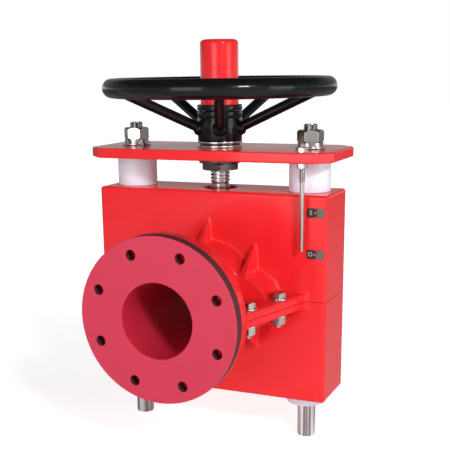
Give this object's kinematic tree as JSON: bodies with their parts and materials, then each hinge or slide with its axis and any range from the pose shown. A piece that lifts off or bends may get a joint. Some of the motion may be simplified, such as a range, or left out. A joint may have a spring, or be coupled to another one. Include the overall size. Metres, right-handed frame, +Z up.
{
  "type": "manual pinch valve",
  "caption": "Manual pinch valve: flanged split cast body with a rubber sleeve, guided yoke plate, threaded stem and black handwheel that closes the sleeve from both sides.",
  "frame": {"origin": "centre of the inlet flange's sealing face, on the flow axis", "axes": "+Y along the flow into the valve, +Z up along the stem, +X to the right seen from the inlet"},
  "size_m": [0.36, 0.42, 0.5592],
  "materials": {
    "red_paint": "gloss paint on cast iron and plate",
    "red_rubber": "smooth matt rubber",
    "dark_rubber": "smooth matt rubber",
    "bright_steel": "bright zinc and turned steel",
    "ground_steel": "ground and hard-chromed",
    "white_plastic": "turned plastic",
    "mark_plate": "dark engraved plate",
    "black_paint": "gloss black enamel"
  },
  "bodies": {
    "housing": {"upper_body": "red_paint", "lower_body": "red_paint", "sleeve": "dark_rubber", "liner": "red_rubber", "left_ear_bolts": "bright_steel", "right_ear_bolts": "bright_steel", "left_ear_nuts": "bright_steel", "right_ear_nuts": "bright_steel", "left_upper_bush": "white_plastic", "right_upper_bush": "white_plastic", "left_lower_bush": "white_plastic", "right_lower_bush": "white_plastic", "open_mark": "mark_plate", "shut_mark": "mark_plate"},
    "yoke": {"yoke_plate": "red_paint", "left_guide_rod": "ground_steel", "right_guide_rod": "ground_steel", "left_washer": "bright_steel", "right_washer": "bright_steel", "left_spring_washer": "bright_steel", "right_spring_washer": "bright_steel", "left_rod_nut": "bright_steel", "right_rod_nut": "bright_steel", "indicator_rod": "bright_steel", "indicator_top_nut": "bright_steel", "indicator_lower_nut": "bright_steel", "lower_race": "ground_steel", "ball_cage": "bright_steel"},
    "wheel": {"upper_race": "ground_steel", "hub": "black_paint", "lower_lock_ring": "black_paint", "upper_lock_ring": "black_paint", "drive_sleeve": "bright_steel", "collar_ring": "ground_steel", "retaining_nut": "black_paint", "wheel_rim": "black_paint", "spoke_1": "black_paint", "spoke_2": "black_paint", "spoke_3": "black_paint", "spoke_4": "black_paint", "spoke_5": "black_paint", "stem_cover": "red_paint"},
    "stem": {"stem": "bright_steel"}
  },
  "joints": [
    {"name": "yoke_lift", "type": "slide", "parent": "housing", "child": "yoke", "axis": [0, 0, 1], "range_m": [0, 0.056]},
    {"name": "wheel_turn", "type": "hinge", "parent": "yoke", "child": "wheel", "pos_m": [0, 0.21, 0.2843], "axis": [0, 0, -1], "range_deg": [0, 8064]},
    {"name": "stem_drop", "type": "slide", "parent": "housing", "child": "stem", "axis": [0, 0, -1], "range_m": [0, 0.056]}
  ],
  "couplings": [
    {"joint": "yoke_lift", "follows": "wheel_turn", "m_per_rad": 0.00039788},
    {"joint": "stem_drop", "follows": "wheel_turn", "m_per_rad": 0.00039788}
  ]
}
